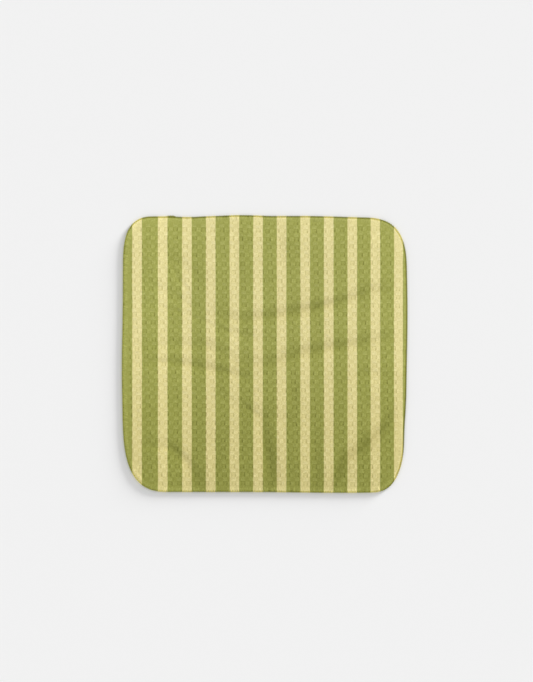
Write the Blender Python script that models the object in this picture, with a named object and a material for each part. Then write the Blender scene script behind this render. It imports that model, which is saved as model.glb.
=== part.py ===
"""A small square waffle-weave towel with an overlocked edge, laid flat.

The towel is one cut blank of waffle cloth. Three threads of a 3-thread overlock seam
run round it: the needle thread on its stitch line, the upper looper thread over the
face and the lower looper thread under the back. Both looper threads wrap the cut edge.

Frame: the origin is under the middle of the towel, on the surface that it lies on.
+X runs across the printed stripes, +Y runs along them and +Z points up from the face.
All sizes are in metres.
"""

import math

import bmesh
import bpy
import numpy as np

# ---- driving dimensions ------------------------------------------------------------

WIDTH = 0.3050             # finished width, across the stripes, where it is fullest
LENGTH = 0.2965            # finished length, along the stripes, where it is fullest
CLOTH_LOFT = 0.0026        # thickness of the waffle cloth between its two faces
SHOULDER = 0.0012          # how far the cloth needs to rise from the margin to full loft
FACE_ROUNDING = 0.0004     # step in from the shoulder to the flat of each face

SEAM_WIDTH = 0.0058        # cut edge of the finished seam to the needle's stitch line
LOOPER_THICKNESS = 0.0005  # build-up of a looper thread over the cloth
NEEDLE_THREAD = 0.0005     # thickness of the needle thread
THREAD_GAP = 0.0003        # clearance between a thread and what it lies on

# The seam presses the cloth's margin into what its threads leave of the full loft.
MARGIN_LOFT = CLOTH_LOFT - 2 * (LOOPER_THICKNESS + THREAD_GAP)

# ---- outline -----------------------------------------------------------------------

SIDE_SWELL = 0.0015        # how far the fullest places of a long side stand past its line
END_SWELL = 0.0013         # the same for the top and bottom sides
CORNER_FULLNESS = 2.8      # 2 is an ellipse, more is squarer

# Each corner of the hand-turned blank: side signs, and its reach along X and along Y.
CORNERS = (
    (+1, +1, 0.048, 0.059),
    (-1, +1, 0.035, 0.053),
    (-1, -1, 0.050, 0.083),
    (+1, -1, 0.040, 0.090),
)

# Swells and dips of each side: where along the side as a share of half of it, how far it
# spreads each way, and how high it stands.
TOP_WAVES = ((-0.16, 0.025, 0.0013), (0.25, 0.030, 0.0004),
             (0.74, 0.034, -0.0012), (-0.53, 0.014, -0.0008))
BOTTOM_WAVES = ((0.54, 0.060, 0.0009),)
LEFT_WAVES = ((-0.10, 0.050, 0.0012),)
RIGHT_WAVES = ((0.29, 0.060, 0.0013), (-0.54, 0.023, -0.0016))

# The seam's end is sewn over its beginning here, on the top side.
OVERLAP_AT = -0.098        # X of the middle of the overlap
OVERLAP_LENGTH = 0.008
OVERLAP_RISE = 0.0008      # how far the doubled threads stand out past the edge

OUTLINE_STEPS = 160        # straight steps round the towel
FINE_STEPS = 2400          # steps of the smooth curve that they are read from
CORNER_STEPS = 200         # points of each corner's own curve
THREAD_BEVEL = 2           # bevel resolution of the needle thread
WAVE_STARTS = 0.68         # share of the way to a side where its waves begin to show
WAVE_FULL = 0.95           # share of the way where they show in full

# ---- finishes ----------------------------------------------------------------------

CLOTH_COLOUR = (0.319, 0.328, 0.084, 1.0)
FACE_THREAD_COLOUR = (0.347, 0.352, 0.102, 1.0)
EDGE_THREAD_COLOUR = (0.238, 0.243, 0.066, 1.0)
CLOTH_ROUGHNESS = 0.92
THREAD_ROUGHNESS = 0.70


def clear_scene():
    """Remove every object that the file starts with."""
    for thing in list(bpy.data.objects):
        bpy.data.objects.remove(thing, do_unlink=True)


def finish(name, colour, roughness):
    """A plain Principled BSDF material for one piece."""
    material = bpy.data.materials.new(name)
    material.use_nodes = True
    shader = material.node_tree.nodes["Principled BSDF"]
    shader.inputs["Base Color"].default_value = colour
    shader.inputs["Roughness"].default_value = roughness
    shader.inputs["Metallic"].default_value = 0.0
    return material


def corner_arc(sign_x, sign_y, reach_x, reach_y):
    """One rounded corner, as the quarter of a superellipse, run anticlockwise."""
    line_x = WIDTH / 2 - SIDE_SWELL
    line_y = LENGTH / 2 - END_SWELL
    turn = np.linspace(0.0, math.pi / 2, CORNER_STEPS)
    x = line_x - reach_x + reach_x * np.cos(turn).clip(0.0) ** (2 / CORNER_FULLNESS)
    y = line_y - reach_y + reach_y * np.sin(turn).clip(0.0) ** (2 / CORNER_FULLNESS)
    arc = np.column_stack((sign_x * x, sign_y * y))
    return arc if sign_x * sign_y > 0 else arc[::-1]


def even_steps(closed_path, count):
    """Points at even distances round a closed path."""
    path = np.vstack((closed_path, closed_path[:1]))
    run = np.concatenate(([0.0], np.hypot(*np.diff(path, axis=0).T).cumsum()))
    at = np.linspace(0.0, run[-1], count, endpoint=False)
    return np.column_stack([np.interp(at, run, path[:, k]) for k in (0, 1)])


def side_waves(along, across, half_side, half_other, waves):
    """How far each point of one side moves out, fading out where the side turns away."""
    share_out = across / half_other
    near_side = ((share_out - WAVE_STARTS) / (WAVE_FULL - WAVE_STARTS)).clip(0.0, 1.0)
    rise = np.zeros(len(along))
    for share, spread, height in waves:
        rise += height * np.exp(-(((along - share * half_side) / spread) ** 2))
    return rise * near_side


def fitted(path):
    """The path centred on the origin, and brought to the towel's exact size."""
    low, high = path.min(axis=0), path.max(axis=0)
    return (path - (low + high) / 2) * np.array((WIDTH, LENGTH)) / (high - low)


def finished_outline():
    """The towel's finished edge as a closed path of even steps, anticlockwise."""
    arcs = [corner_arc(*corner) for corner in CORNERS]
    path = even_steps(np.vstack(arcs), FINE_STEPS)
    x, y = path[:, 0].copy(), path[:, 1].copy()
    half_x, half_y = WIDTH / 2, LENGTH / 2
    path[:, 1] += side_waves(x, y, half_x, half_y, TOP_WAVES)
    path[:, 1] -= side_waves(x, -y, half_x, half_y, BOTTOM_WAVES)
    path[:, 0] -= side_waves(y, -x, half_y, half_x, LEFT_WAVES)
    path[:, 0] += side_waves(y, x, half_y, half_x, RIGHT_WAVES)
    return fitted(even_steps(path, OUTLINE_STEPS))


def outward(path):
    """The unit direction out of a closed anticlockwise path at each of its points."""
    along = np.roll(path, -1, axis=0) - np.roll(path, 1, axis=0)
    along /= np.hypot(*along.T)[:, None]
    return np.column_stack((along[:, 1], -along[:, 0]))


def overlap_rise(path):
    """How far the doubled threads of the seam's overlap stand out at each point."""
    near = np.exp(-(((path[:, 0] - OVERLAP_AT) / (OVERLAP_LENGTH / 2)) ** 2))
    return OVERLAP_RISE * near * (path[:, 1] > 0.0)


def inset_loop(path, inset, rise=None):
    """The outline stepped in by inset, and out again by rise where threads double."""
    step = np.full(len(path), -inset)
    if rise is not None:
        step += rise
    return path + outward(path) * step[:, None]


def add_loop(mesh, loop, height):
    """The corners of a closed loop at one height."""
    return [mesh.verts.new((x, y, height)) for x, y in loop]


def wall(mesh, start, end):
    """A strip of faces from one closed loop to the next."""
    for k in range(len(start)):
        mesh.faces.new((start[k - 1], start[k], end[k], end[k - 1]))


def place(name, mesh, material):
    """Make a bmesh into a named object, with smooth rounds and sharp folds."""
    bmesh.ops.recalc_face_normals(mesh, faces=mesh.faces)
    data = bpy.data.meshes.new(name)
    mesh.to_mesh(data)
    mesh.free()
    data.materials.append(material)
    data.shade_smooth()
    data.set_sharp_from_angle(angle=math.radians(40))
    piece = bpy.data.objects.new(name, data)
    bpy.context.collection.objects.link(piece)
    return piece


def cloth(path, material):
    """The cut blank: a pressed margin under the seam, then the full waffle loft."""
    middle = CLOTH_LOFT / 2
    cut_edge = LOOPER_THICKNESS + THREAD_GAP
    foot = SEAM_WIDTH + NEEDLE_THREAD + THREAD_GAP
    half_profile = (
        (cut_edge, MARGIN_LOFT / 2),
        (foot, MARGIN_LOFT / 2),
        (foot + SHOULDER, middle - FACE_ROUNDING / 2),
        (foot + SHOULDER + FACE_ROUNDING, middle),
    )
    mesh = bmesh.new()
    profile = [(inset, middle - rise) for inset, rise in reversed(half_profile)]
    profile += [(inset, middle + rise) for inset, rise in half_profile]
    loops = [add_loop(mesh, inset_loop(path, inset), height) for inset, height in profile]
    for start, end in zip(loops, loops[1:]):
        wall(mesh, start, end)
    mesh.faces.new(loops[0])
    mesh.faces.new(loops[-1])
    return place("waffle_cloth", mesh, material)


def looper_band(name, path, flat, lip_end, reach, material):
    """A looper thread's build-up: a flat band on the cloth, and a lip over its edge.

    flat is the height of the band's outer face, lip_end the height where the lip ends
    and reach how far in from the edge the band goes.
    """
    inner_face = flat + math.copysign(LOOPER_THICKNESS, lip_end - flat)
    profile = (
        (0.0, flat),
        (reach, flat),
        (reach, inner_face),
        (LOOPER_THICKNESS, inner_face),
        (LOOPER_THICKNESS, lip_end),
        (0.0, lip_end),
    )
    rise = overlap_rise(path)
    mesh = bmesh.new()
    loops = []
    for inset, height in profile:
        doubled = rise if inset == 0.0 else None
        loops.append(add_loop(mesh, inset_loop(path, inset, doubled), height))
    for start, end in zip(loops, loops[1:] + loops[:1]):
        wall(mesh, start, end)
    return place(name, mesh, material)


def needle_line(path, material):
    """The needle thread, as one closed line round the face of the seam."""
    height = CLOTH_LOFT / 2 + MARGIN_LOFT / 2 + THREAD_GAP + NEEDLE_THREAD / 2
    line = inset_loop(path, SEAM_WIDTH + NEEDLE_THREAD / 2)
    curve = bpy.data.curves.new("needle_thread", "CURVE")
    curve.dimensions = "3D"
    curve.bevel_depth = NEEDLE_THREAD / 2
    curve.bevel_resolution = THREAD_BEVEL
    spline = curve.splines.new("POLY")
    spline.points.add(len(line) - 1)
    for point, (x, y) in zip(spline.points, line):
        point.co = (x, y, height, 1.0)
    spline.use_cyclic_u = True
    curve.materials.append(material)
    piece = bpy.data.objects.new("needle_thread", curve)
    bpy.context.collection.objects.link(piece)
    return piece


def main():
    """Model the towel."""
    clear_scene()
    printed_cloth = finish("printed_cloth", CLOTH_COLOUR, CLOTH_ROUGHNESS)
    face_thread = finish("face_thread", FACE_THREAD_COLOUR, THREAD_ROUGHNESS)
    edge_thread = finish("edge_thread", EDGE_THREAD_COLOUR, THREAD_ROUGHNESS)
    back_thread = finish("back_thread", FACE_THREAD_COLOUR, THREAD_ROUGHNESS)

    path = finished_outline()
    middle = CLOTH_LOFT / 2
    under_needle = SEAM_WIDTH - THREAD_GAP
    past_needle = SEAM_WIDTH + NEEDLE_THREAD

    cloth(path, printed_cloth)
    needle_line(path, face_thread)
    looper_band("upper_looper_thread", path, CLOTH_LOFT, middle + THREAD_GAP / 2,
                under_needle, edge_thread)
    looper_band("lower_looper_thread", path, 0.0, middle - THREAD_GAP / 2,
                past_needle, back_thread)


main()
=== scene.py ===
# %% [markdown]
# # A waffle-weave towel with an overlocked edge
# The towel is one cut piece of waffle cloth, printed with stripes after it was sewn, with
# a 3-thread overlock seam round its edge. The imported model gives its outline, its size and
# the room that each thread has. This file weaves the cloth, sews the seam with its three
# threads, gives both their printed finish, and sets a pale floor, soft light and a camera.

import math

import bmesh
import bpy
import numpy as np
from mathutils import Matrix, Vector
from mathutils.kdtree import KDTree


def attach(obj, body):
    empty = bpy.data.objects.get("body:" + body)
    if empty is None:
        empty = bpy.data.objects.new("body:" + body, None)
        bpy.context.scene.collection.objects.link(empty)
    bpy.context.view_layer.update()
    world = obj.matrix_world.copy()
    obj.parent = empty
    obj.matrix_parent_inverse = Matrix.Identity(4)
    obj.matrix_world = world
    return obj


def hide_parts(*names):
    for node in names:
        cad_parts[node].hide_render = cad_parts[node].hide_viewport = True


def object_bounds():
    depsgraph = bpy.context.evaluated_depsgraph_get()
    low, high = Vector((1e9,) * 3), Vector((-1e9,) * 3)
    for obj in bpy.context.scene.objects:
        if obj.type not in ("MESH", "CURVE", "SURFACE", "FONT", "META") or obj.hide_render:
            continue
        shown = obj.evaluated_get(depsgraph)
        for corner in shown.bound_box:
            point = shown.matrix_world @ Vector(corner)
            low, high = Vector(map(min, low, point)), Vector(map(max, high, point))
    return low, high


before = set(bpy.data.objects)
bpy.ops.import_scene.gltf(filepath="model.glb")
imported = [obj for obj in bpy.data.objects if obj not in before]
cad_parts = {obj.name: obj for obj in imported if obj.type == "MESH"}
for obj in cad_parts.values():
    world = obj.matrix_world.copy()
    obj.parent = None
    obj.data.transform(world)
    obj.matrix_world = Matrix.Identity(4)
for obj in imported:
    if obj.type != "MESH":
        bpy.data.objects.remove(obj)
cad_low, cad_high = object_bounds()
MM = 0.001
print("packed model's box, mm:", [round(v / MM, 1) for v in (*cad_low, *cad_high)])

# %% [markdown]
# ## Camera
# The towel lies flat and is looked at from straight above, so the camera hangs over it and
# looks down, with the towel's top side at the top of the picture. A long lens from far away
# keeps the sides straight, as a copy stand does. The view is a little taller than the towel,
# and its middle lies a little above the towel's middle.

# %% Camera
VIEW_HEIGHT = 726.8 * MM    # what the picture takes in along its long side
VIEW_MIDDLE = Vector((2.24 * MM, 14.1 * MM, 0.0))
LENS = 85.0                 # its focal length, mm
SENSOR = 36.0               # mm along the picture's long side

camera_data = bpy.data.cameras.new("camera")
camera_data.lens = LENS
camera_data.sensor_width = SENSOR
camera = bpy.data.objects.new("camera", camera_data)
camera_distance = VIEW_HEIGHT * LENS / SENSOR
camera.location = VIEW_MIDDLE + Vector((0.0, 0.0, camera_distance))
camera_data.clip_end = 3 * camera_distance
bpy.context.scene.collection.objects.link(camera)
bpy.context.scene.camera = camera
print("camera stands", round(camera_distance, 3), "m above the towel")

# %% [markdown]
# ## The outline
# The blank was cut and turned by hand, so its corners and sides are not quite alike. The
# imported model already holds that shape. The flat top of its cloth ends in a clean line that
# runs parallel to the edge, so the finished edge is that line moved out by a fixed step. A
# Fourier series through its points makes it a smooth closed curve. Along the left and near
# sides the hem has rolled under by half a millimetre, which draws the edge in.

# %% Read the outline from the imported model
FLAT_TOP_INSET = 8.2 * MM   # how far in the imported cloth's flat top ends
ROLLED_IN = 0.55 * MM       # how far the hem has rolled under along the left and near sides
FINE = 2400                 # points of the smooth outline
CLOSE = 0.01 * MM           # what counts as lying in the flat top


def resample(path, count):
    """Points at even distances round a closed path."""
    closed = np.vstack((path, path[:1]))
    run = np.concatenate(([0.0], np.hypot(*np.diff(closed, axis=0).T).cumsum()))
    at = np.linspace(0.0, run[-1], count, endpoint=False)
    return np.column_stack([np.interp(at, run, closed[:, k]) for k in (0, 1)])


def outward(path):
    """The unit direction out of a closed anticlockwise path at each point."""
    along = np.roll(path, -1, axis=0) - np.roll(path, 1, axis=0)
    along /= np.hypot(*along.T)[:, None]
    return np.column_stack((along[:, 1], -along[:, 0]))


def fourier(path, count):
    """A smooth closed curve through evenly spaced points."""
    spectrum = np.fft.fft(path[:, 0] + 1j * path[:, 1])
    half = len(path) // 2
    padded = np.zeros(count, complex)
    padded[:half] = spectrum[:half]
    padded[-half:] = spectrum[-half:]
    curve = np.fft.ifft(padded) * count / len(path)
    return np.column_stack((curve.real, curve.imag))


flat_top = {tuple(round(c, 6) for c in v.co.xy)
            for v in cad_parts["waffle_cloth"].data.vertices
            if v.co.z > cad_high.z - CLOSE}
inner_line = np.array(sorted(flat_top, key=lambda p: math.atan2(p[1], p[0])))
inner_line = fourier(resample(inner_line, len(inner_line)), FINE)
edge = resample(inner_line + outward(inner_line) * FLAT_TOP_INSET, FINE)
edge_out = outward(edge)
left_and_near = (-edge_out.sum(axis=1)).clip(0.0, 1.0)
edge -= edge_out * (ROLLED_IN * left_and_near)[:, None]
PERIMETER = float(np.hypot(*(np.roll(edge, -1, axis=0) - edge).T).sum())
print("outline:", len(flat_top), "points, perimeter", round(PERIMETER / MM, 1), "mm")

# %% [markdown]
# ### How far in from the edge
# The cut, the seam and the dark rim are all measured inwards from the finished edge. A KD
# tree finds the outline's nearest point quickly, and the step back to it along the outward
# direction is the distance. A point outside the towel gets a distance below zero.

# %% Measure from the edge
edge_tree = KDTree(FINE)
for index, (x, y) in enumerate(edge):
    edge_tree.insert((x, y, 0.0), index)
edge_tree.balance()


def from_edge(points):
    """Each point's distance in from the finished edge, and the edge's nearest point."""
    nearest = np.array([edge_tree.find((x, y, 0.0))[1] for x, y in points])
    away = points - edge[nearest]
    return -(away * edge_out[nearest]).sum(axis=1), nearest


print("the middle lies", round(from_edge(np.zeros((1, 2)))[0][0] / MM, 1), "mm in from the edge")

# %% [markdown]
# ## How the cloth lies
# The towel was unfolded and smoothed by hand. It lies on a cushion of its own loft, about a
# millimetre off the floor, and its edge lies flat. Soft creases press it down in shallow
# valleys, and a few fine wrinkles run beside them. Each is a short chain of points: the
# valley is deepest on the chain, its lips stand up a little beside it, and it fades out at
# both ends. A cloth simulation would put creases in other places on each try, so they are
# listed one by one.

# %% Creases
# the crease's points, how far it spreads to each side, and how deep it is; all in mm
CREASES = (
    (((139, 71), (110, 67), (82, 56), (46, 47), (-3, 39), (-28, 37), (-60, 42)), 6.8, 0.94),
    (((139, 21), (103, 12), (57, 5), (32, 0), (11, -9), (-27, -12)), 6.8, 0.94),
    (((-141, 7), (-110, 10), (-64, 10), (-42, 0), (-24, -10)), 6.2, 0.45),
    (((-146, -9), (-99, -8), (-74, -12), (-46, -18), (-20, -23), (9, -20)), 6.4, 0.54),
    (((-52, -40), (-28, -56), (-3, -66), (30, -70)), 6.8, 0.30),
    (((32, -28), (31, -60)), 6.5, 0.26),
    (((-4, -62), (2, -96), (6, -116), (8, -142), (9, -170)), 7.0, 0.80),
    (((139, -57), (125, -79), (103, -99), (86, -110), (73, -135), (66, -152)), 6.4, 1.24),
    (((-138, -95), (-103, -97), (-84, -114), (-66, -140), (-56, -166)), 6.4, 0.57),
    (((54, -82), (56, -142), (57, -160)), 5.6, 0.37),
    (((-50, -84), (-51, -140)), 6.5, 0.25),
    (((-29, 139), (-29, 70)), 5.6, 0.37),
    (((18, 139), (18, 92)), 5.6, 0.33),
    (((-122, 122), (-96, 100), (-54, 74)), 6.4, 0.21),
    (((-130, 76), (-102, 66), (-62, 42)), 6.0, 0.28),
    (((-62, 28), (-30, 22), (2, 17)), 6.2, 0.29),
    (((78, -31), (110, -19), (141, -26)), 6.4, 0.37),
)
WRINKLES = (
    (((-129, -5), (-93, -9), (-72, -13), (-47, -17), (-22, -25), (-5, -27)), 2.4, 0.20),
    (((-129, 58), (-96, 47), (-76, 40), (-47, 28), (-12, 17)), 2.4, 0.24),
    (((-103, 101), (-92, 82), (-77, 62)), 2.6, 0.22),
    (((-141, -97), (-97, -100), (-83, -113), (-76, -124)), 2.4, 0.28),
    (((-28, -47), (-18, -57), (-6, -68)), 2.4, 0.24),
    (((20, 46), (52, 50), (82, 58), (108, 68)), 2.6, 0.24),
)
print(len(CREASES), "creases, the deepest", max(depth for *_, depth in CREASES), "mm, and",
      len(WRINKLES), "fine wrinkles")

# %% [markdown]
# ### Height off the floor
# The creases and wrinkles are taken away from a low cushion with four broad swells. Away
# from its chain a valley fades as a bell curve. Its lips are a wider and much weaker bell
# with the sign turned round, because the cloth that a valley takes in has to come from
# beside it. Round the edge all of it comes down nearly to the floor.

# %% Height off the floor
LOOSE_LIFT = 0.8            # how high the smoothed cloth stands off the floor, mm
# each swell's X and Y, how far it spreads, and how high it rises; all in mm
SWELLS = ((-60, 80, 45, 0.5), (75, 100, 50, 0.5), (80, -20, 40, 0.5), (-90, -50, 40, 0.4))
LIES_FREE = 30 * MM         # how far in from the edge the cloth has its full lift
EDGE_SHARE = 0.1            # what is left of the lift at the edge
LIP = 0.12                  # a crease's lips, as a share of its depth
LIP_SPREAD = 2.6            # how much wider the lips are than the valley
CHAIN_STEP = 3              # mm between the points that a chain is measured at
FADE = 0.6                  # the power of the sine that a crease fades out by at its ends


def smooth(t):
    """A smooth step from 0 to 1."""
    return t * t * (3 - 2 * t)


def near_chain(p, chain, spreads):
    """How near each point is to a chain, 1 on it and 0 away from it, for each spread."""
    chain = np.array(chain, float)
    run = np.concatenate(([0.0], np.hypot(*np.diff(chain, axis=0).T).cumsum()))
    at = np.linspace(0.0, run[-1], round(run[-1] / CHAIN_STEP) + 2)
    line = np.column_stack([np.interp(at, run, chain[:, k]) for k in (0, 1)])
    strength = np.sin(np.linspace(0.0, math.pi, len(line))) ** FADE
    away = np.hypot(p[:, :1] - line[:, 0], p[:, 1:] - line[:, 1])
    return [(strength * np.exp(-((away / spread) ** 2))).max(axis=1) for spread in spreads]


def creased(points):
    """How far each point is pressed down by the creases, from 0 to about 1.2."""
    p = points / MM
    return sum(depth * near_chain(p, chain, (spread,))[0]
               for chain, spread, depth in CREASES + WRINKLES)


def lie(points):
    """How high the cloth's underside stands off the floor at each point."""
    p = points / MM
    height = np.full(len(p), LOOSE_LIFT)
    for x, y, spread, rise in SWELLS:
        height += rise * np.exp(-(((p[:, 0] - x) ** 2 + (p[:, 1] - y) ** 2) / spread ** 2))
    for chain, spread, depth in CREASES + WRINKLES:
        valley, lips = near_chain(p, chain, (spread, LIP_SPREAD * spread))
        height += depth * (LIP * lips - (1 + LIP) * valley)
    inset, _ = from_edge(points)
    free = smooth((inset / LIES_FREE).clip(0.0, 1.0))
    return height.clip(0.0) * MM * (EDGE_SHARE + (1 - EDGE_SHARE) * free)


print("the middle stands", round(lie(np.zeros((1, 2)))[0] / MM, 2), "mm off the floor")

# %% [markdown]
# ## The waffle cloth
# In a waffle weave the yarns float over a grid of small pits. On the face, long warp floats
# stand between pits that are side by side, long weft floats between pits that are one above
# the other, and the weave is tight in the pits and where four cells meet. The back is the
# same with its pits half a cell aside.
#
# A grid is the natural start, because cloth is one. Its rows and columns are spaced to fall
# on the floats, the walls and the floors of the pits, so few faces give a sharp relief.
# Three values are kept on each vertex: its place in its waffle cell, how far in from the
# edge it is, and how much a crease presses it. The finishes read them later.

# %% Set up the loom
COLUMN_PHASES = (-0.50, -0.30, -0.20, -0.08, 0.08, 0.20, 0.30)
ROW_PHASES = (-0.50, -0.34, -0.22, 0.0, 0.22, 0.34)
CELLS_ACROSS = 17           # cells on each side of the middle one
CELLS_DOWN = 18


def lines(phases, cells):
    """Grid lines in cells, from the middle pit out to both sides."""
    return np.array([k + phase for k in range(-cells, cells + 1) for phase in phases])


columns = lines(COLUMN_PHASES, CELLS_ACROSS)
rows = lines(ROW_PHASES, CELLS_DOWN)
cloth = bmesh.new()
bmesh.ops.create_grid(cloth, x_segments=len(columns) - 1, y_segments=len(rows) - 1, size=1.0)
cell_layer = cloth.verts.layers.float_vector.new("cell")
inset_layer = cloth.verts.layers.float.new("inset")
crease_layer = cloth.verts.layers.float.new("crease")
print("loom:", len(columns), "lines across and", len(rows), "down")

# %% [markdown]
# ### Pull the grid into shape
# Woven cloth is never quite square. Its columns lean a little, as they do when it is pulled
# off the roll, and its yarns wander, both slowly over the whole towel and from each cell to
# the next. Smooth random values from fixed seeds do that, so every run weaves the same
# towel.

# %% Pull the grid into shape
CELL_X = 9.76 * MM          # pit to pit, across
CELL_Y = 9.00 * MM          # pit to pit, down
PIT_X = 0.3 * MM            # one pit's place, near the middle
PIT_Y = -1.8 * MM
LEAN = 0.044                # how far the columns lean for each step along the stripes
WANDER = 0.9 * MM           # how far a yarn usually wanders aside, over long stretches
WANDER_SPACING = 50 * MM
CELL_WANDER = 0.25 * MM     # how far it usually wanders from each cell to the next
TABLE = 64                  # the random values repeat after this many squares


def uneven(across, down, seed):
    """A smooth random value that changes from each unit square to the next."""
    table = np.random.default_rng(seed).normal(0.0, 1.0, (TABLE, TABLE))
    left, low = np.floor(across).astype(int), np.floor(down).astype(int)
    s, t = smooth(across - left), smooth(down - low)
    near_left, near_right, far_left, far_right = (
        table[(left + i) % TABLE, (low + j) % TABLE] for i, j in ((0, 0), (1, 0), (0, 1), (1, 1)))
    near = near_left * (1 - s) + near_right * s
    far = far_left * (1 - s) + far_right * s
    return near * (1 - t) + far * t


grid = np.array([v.co for v in cloth.verts])
column = columns[np.rint((grid[:, 0] + 1) / 2 * (len(columns) - 1)).astype(int)]
row = rows[np.rint((grid[:, 1] + 1) / 2 * (len(rows) - 1)).astype(int)]
y = PIT_Y + row * CELL_Y
x = PIT_X + column * CELL_X - LEAN * y
wander = [WANDER * uneven(x / WANDER_SPACING, y / WANDER_SPACING, seed)
          + CELL_WANDER * uneven(column, row, seed + 2) for seed in (1, 2)]
place = np.column_stack((x + wander[0], y + wander[1]))
print("the yarns wander up to", round(abs(np.array(wander)).max() / MM, 2), "mm")

# %% [markdown]
# ### Cut the blank
# Grid corners near the outline are moved onto it, and the rest are cut away, which leaves a
# clean cut edge that follows the curve. A boolean cut would leave long thin faces there.
# At one place on the far side the seam's end is sewn over its start, and the edge stands
# out a little.

# %% Cut the blank
CUT_INSET = 0.45 * MM       # the cut edge lies this far inside the finished edge
SNAP = 0.55 * MM            # a corner this near the cut edge is moved onto it
MERGE = 0.15 * MM
SLIVER = 0.05 * MM
OVERLAP = (-103.2, -95.2)   # X where the seam's overlap begins and ends, mm
OVERLAP_SOFT = (0.9, 0.3)   # how gently it begins and ends, mm
OVERLAP_RISE = 0.9          # how far it stands out, mm


def soft_step(value, soft):
    """A step from 0 below zero to 1 above it, this soft."""
    return 0.5 + 0.5 * np.tanh(value / soft / 2)


def overlap(x, y):
    """Where the seam's end is sewn over its start: 1 there, and 0 round the rest of the edge."""
    begins = soft_step(x / MM - OVERLAP[0], OVERLAP_SOFT[0])
    ends = soft_step(OVERLAP[1] - x / MM, OVERLAP_SOFT[1])
    return begins * ends * (y > 0)


inset, nearest = from_edge(place)
inside = inset > CUT_INSET + SNAP
cut_edge = edge + edge_out * (OVERLAP_RISE * MM * overlap(*edge.T) - CUT_INSET)[:, None]
place[~inside] = cut_edge[nearest[~inside]]
inset[~inside] = CUT_INSET
for v, spot, c, r, d, crease in zip(cloth.verts, place, column, row, inset, creased(place)):
    v.co = (*spot, 0.0)
    v[cell_layer] = (c, r, 1.0)
    v[inset_layer] = d / MM
    v[crease_layer] = crease
outside = [f for f in cloth.faces if all(v[inset_layer] <= CUT_INSET / MM + 1e-6 for v in f.verts)]
bmesh.ops.delete(cloth, geom=outside, context="FACES")
bmesh.ops.remove_doubles(cloth, verts=cloth.verts, dist=MERGE)
bmesh.ops.dissolve_degenerate(cloth, edges=cloth.edges, dist=SLIVER)
print("woven grid:", len(cloth.faces), "faces after cutting")

# %% [markdown]
# ### The relief of one cell
# The product of two cosines makes the waffle: low in the pits and where four cells meet,
# high on the floats between them. The weft yarns dive steeply at the left and right walls
# of a pit, so each of those walls gets a narrow slot of its own.

# %% The relief of one cell
MEAN_DEPTH = 0.5
SWING = 0.42                # how far the floats and pits rise and sink from the mean depth
PITS_LOWER = 0.08           # how much lower the pits are than the places where four cells meet
SLOT = 0.30                 # how much depth a slot adds where it is
SLOT_AT = (0.20, 0.06)      # a slot's place across the cell, and its width
SLOT_LENGTH = 0.22


def pit(across, down):
    """Depth of the waffle, from 0 on the floats to about 1 in a pit centred on 0, 0."""
    a, b = np.cos(2 * math.pi * across), np.cos(2 * math.pi * down)
    hollow = MEAN_DEPTH + SWING * a * b + PITS_LOWER * (a + b)
    p = abs((across + 0.5) % 1 - 0.5)
    q = abs((down + 0.5) % 1 - 0.5)
    slot = np.exp(-(((p - SLOT_AT[0]) / SLOT_AT[1]) ** 2)) * np.exp(-((q / SLOT_LENGTH) ** 4))
    return hollow + SLOT * slot


print("a pit is", round(pit(0.0, 0.0), 2), "deep at its middle, a slot", round(pit(SLOT_AT[0], 0.0), 2),
      "and a float", round(pit(0.5, 0.0), 2))

# %% [markdown]
# ### Two faces and their relief
# Extruding the flat sheet gives it a back and a cut edge. Then each side gets its height:
# the loft of the full cloth less the depth of its own pits, both pressed down to a thin
# margin where the seam holds the cloth. At the cut edge the top turns down.

# %% Give the cloth its loft and relief
LOFT = cad_high.z - cad_low.z
PIT_DEPTH = 0.26 * MM
BACK_SHARE = 0.8                 # the back's pits, as a share of the face's
UNEVEN_PITS = 0.15               # how much deeper or shallower one pit is than the next
NAP = 0.006 * MM                 # how uneven the loops stand
MARGIN = (0.7 * MM, 2.34 * MM)   # underside and top of the pressed margin
PRESSED = 5.0                    # mm in from the edge where the margin ends
FULL = 9.5                       # mm in from the edge where the loft is full
TURN = 0.6 * MM                  # how far the top turns down at the cut edge
TURN_WIDTH = 2.5                 # mm in from the edge where it begins to turn down

lifted = bmesh.ops.extrude_face_region(cloth, geom=list(cloth.faces))
face_verts = [g for g in lifted["geom"] if isinstance(g, bmesh.types.BMVert)]
face_set = set(face_verts)
back_verts = [v for v in cloth.verts if v not in face_set]
for side, verts in (("face", face_verts), ("back", back_verts)):
    spot = np.array([v.co.xy for v in verts])
    cell = np.array([v[cell_layer] for v in verts])
    depth_in = np.array([v[inset_layer] for v in verts])
    open_cloth = smooth(((depth_in - PRESSED) / (FULL - PRESSED)).clip(0.0, 1.0))
    pit_depth = PIT_DEPTH * (1 + UNEVEN_PITS * uneven(cell[:, 0] + 0.5, cell[:, 1] + 0.5, 5))
    if side == "face":
        nap = NAP * np.random.default_rng(6).normal(0.0, 1.0, len(verts))
        full = LOFT - pit_depth * pit(cell[:, 0], cell[:, 1]) + nap
        margin = MARGIN[1] - TURN * (1 - depth_in / TURN_WIDTH).clip(0.0, 1.0) ** 2
    else:
        full = BACK_SHARE * pit_depth * pit(cell[:, 0] + 0.5, cell[:, 1] + 0.5)
        margin = MARGIN[0]
    for v, height in zip(verts, margin + (full - margin) * open_cloth + lie(spot)):
        v.co.z = height
        if side == "back":
            v[cell_layer] = (v[cell_layer][0] + 0.5, v[cell_layer][1] + 0.5, -1.0)
bmesh.ops.recalc_face_normals(cloth, faces=cloth.faces)
print("relief given to", len(face_verts), "points of the face and", len(back_verts), "of the back")

# %% [markdown]
# ### Make the cloth a piece
# The bmesh becomes a mesh object. Its place is in its mesh, so the object itself stays at
# the origin, unturned. Smooth shading hides the single faces, which are about a sixth of a
# cell wide.

# %% Make the cloth a piece


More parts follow.
